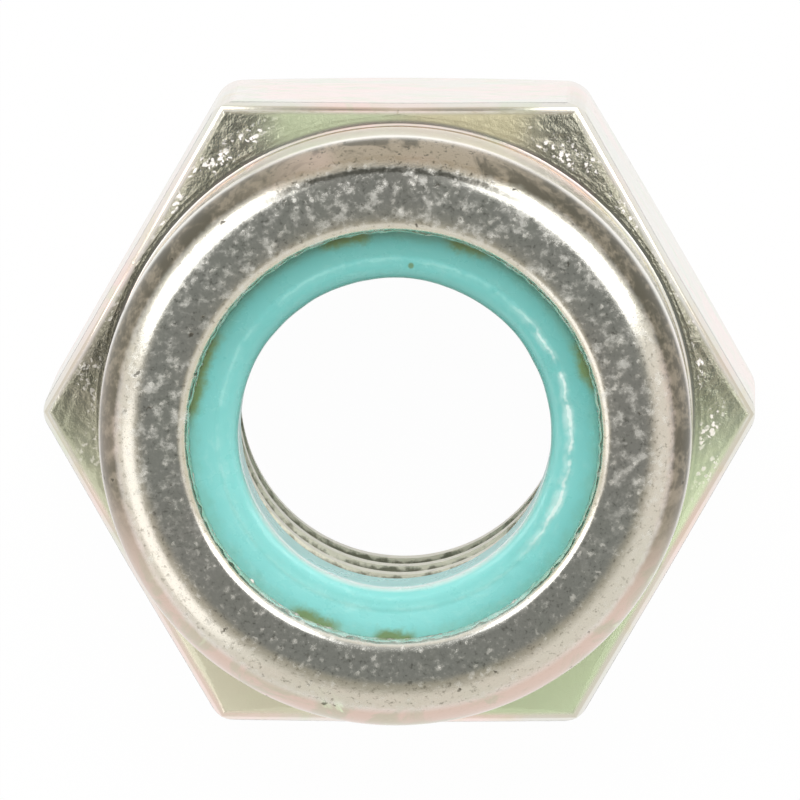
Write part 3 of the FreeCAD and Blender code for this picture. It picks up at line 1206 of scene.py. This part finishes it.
def studio_camera(settings):
    """A long lens from above, leaning a little towards the rear flat."""
    data = bpy.data.cameras.new("camera")
    data.lens = settings.lens
    data.clip_start = 0.01
    camera = bpy.data.objects.new("camera", data)
    bpy.context.scene.collection.objects.link(camera)
    backwards = Vector(settings.backwards).normalized()
    right = Vector((0, 1, 0)).cross(backwards).normalized()
    upwards = backwards.cross(right)
    camera.matrix_world = Matrix((right, upwards, backwards)).transposed().to_4x4()
    camera.location = Vector(settings.focus) + backwards * settings.distance
    bpy.context.scene.camera = camera


class LOCKNUT_OT_steel_body(bpy.types.Operator):
    """Build the plated steel body"""

    bl_idname = "lock_nut.steel_body"
    bl_label = "Steel body"

    def execute(self, context):
        dress(steel_body(), "nut_body", plated_steel(context.scene.nut_finish))
        return {"FINISHED"}


class LOCKNUT_OT_locking_ring(bpy.types.Operator):
    """Build the nylon locking ring"""

    bl_idname = "lock_nut.locking_ring"
    bl_label = "Locking ring"

    def execute(self, context):
        dress(locking_ring(), "locking_ring", dyed_nylon(context.scene.nut_finish))
        return {"FINISHED"}


class LOCKNUT_OT_lip_burrs(bpy.types.Operator):
    """Build the burrs along the crimped lip"""

    bl_idname = "lock_nut.lip_burrs"
    bl_label = "Lip burrs"

    def execute(self, context):
        plating = bpy.data.materials.get("plated_steel") or plated_steel(context.scene.nut_finish)
        dress(lip_burrs(), None, plating)
        return {"FINISHED"}


class LOCKNUT_OT_stage(bpy.types.Operator):
    """Build the floor, the room, the lamps and the camera"""

    bl_idname = "lock_nut.stage"
    bl_label = "Stage"

    def execute(self, context):
        settings = context.scene.nut_studio
        studio_floor(settings)
        studio_world(settings)
        studio_camera(settings)
        studio_lamps(settings)
        context.scene.view_settings.view_transform = "Standard"
        return {"FINISHED"}


class LOCKNUT_PT_panel(bpy.types.Panel):
    """Lists the steps in the sidebar"""

    bl_label = "Lock Nut"
    bl_idname = "LOCKNUT_PT_panel"
    bl_space_type = "VIEW_3D"
    bl_region_type = "UI"
    bl_category = "Lock Nut"

    def draw(self, context):
        for operator in OPERATORS:
            self.layout.operator(operator.bl_idname)


OPERATORS = (LOCKNUT_OT_steel_body, LOCKNUT_OT_locking_ring, LOCKNUT_OT_lip_burrs, LOCKNUT_OT_stage)
GROUPS = {
    "nut_body": NutSizes,
    "nut_thread": ThreadSizes,
    "locking_ring": RingSizes,
    "lip_burrs": BurrSizes,
    "nut_finish": NutFinish,
    "nut_studio": StudioSettings,
}


def register():
    """Registers the classes and gives the scene its groups of settings."""
    for group_name, group in GROUPS.items():
        bpy.utils.register_class(group)
        setattr(bpy.types.Scene, group_name, PointerProperty(type=group))
    for operator in OPERATORS:
        bpy.utils.register_class(operator)
    bpy.utils.register_class(LOCKNUT_PT_panel)


def unregister():
    """Takes back what register did."""
    bpy.utils.unregister_class(LOCKNUT_PT_panel)
    for operator in reversed(OPERATORS):
        bpy.utils.unregister_class(operator)
    for group_name, group in GROUPS.items():
        delattr(bpy.types.Scene, group_name)
        bpy.utils.unregister_class(group)


def main():
    register()
    bpy.ops.lock_nut.steel_body()
    bpy.ops.lock_nut.locking_ring()
    bpy.ops.lock_nut.lip_burrs()
    bpy.ops.lock_nut.stage()


if __name__ == "__main__":
    main()
